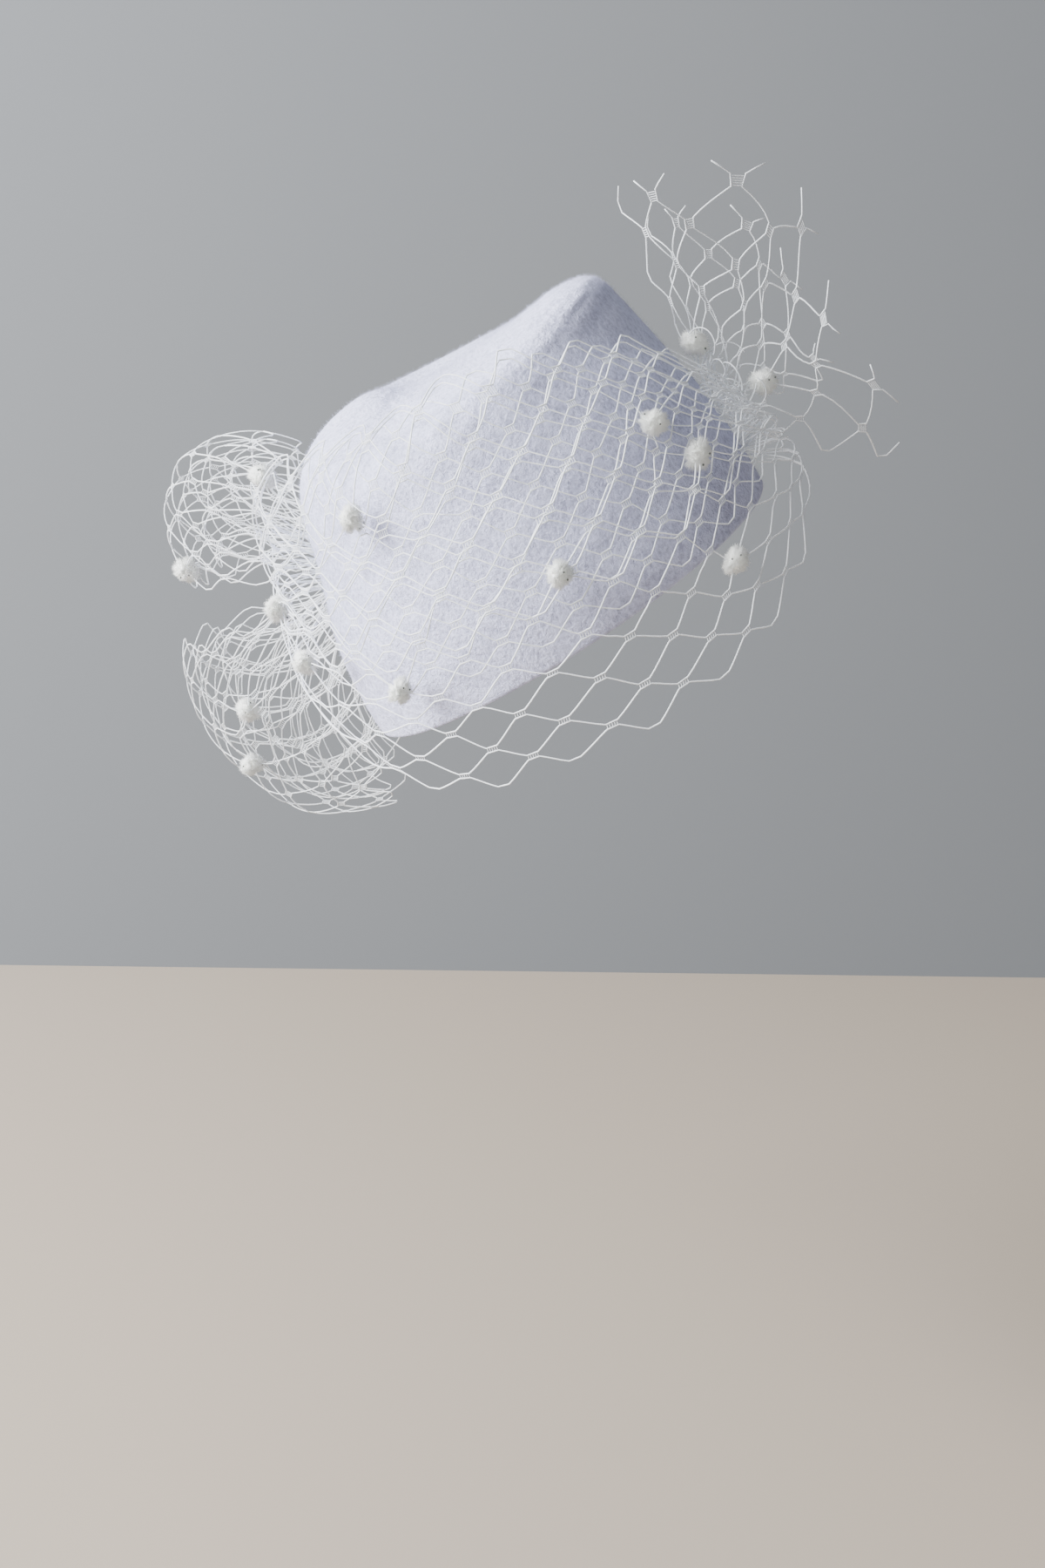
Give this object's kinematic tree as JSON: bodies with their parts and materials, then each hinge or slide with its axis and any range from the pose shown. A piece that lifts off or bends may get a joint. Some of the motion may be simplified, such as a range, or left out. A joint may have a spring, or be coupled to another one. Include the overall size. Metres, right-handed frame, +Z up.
{
  "type": "pillbox hat",
  "caption": "Tall felt pillbox hat with a dished top, worn tipped to one side, wrapped in wide diamond veiling with an open fan, looped poufs and small fuzzy pompoms.",
  "frame": {"origin": "centre of the hat's rim, in the rim's plane, where the wearer's head holds the hat", "axes": "+Z up as worn, +X towards the wearer's left, +Y towards the wearer's back; the rim's plane is tipped 31.7 degrees to the wearer's right and 12.5 degrees to the front"},
  "size_m": [0.2756, 0.1703, 0.2409],
  "materials": {
    "felt": "soft napped wool felt",
    "net": "fine satin thread",
    "pompom": "fuzzy chenille"
  },
  "bodies": {
    "root": {"felt_cap": "felt", "veil_front": "net", "veil_spray": "net", "veil_loop_upper": "net", "veil_loop_lower": "net", "pompom_01": "pompom", "pompom_02": "pompom", "pompom_03": "pompom", "pompom_04": "pompom", "pompom_05": "pompom", "pompom_06": "pompom", "pompom_07": "pompom", "pompom_08": "pompom", "pompom_09": "pompom", "pompom_10": "pompom", "pompom_11": "pompom", "pompom_12": "pompom", "pompom_13": "pompom", "pompom_14": "pompom"}
  },
  "joints": []
}
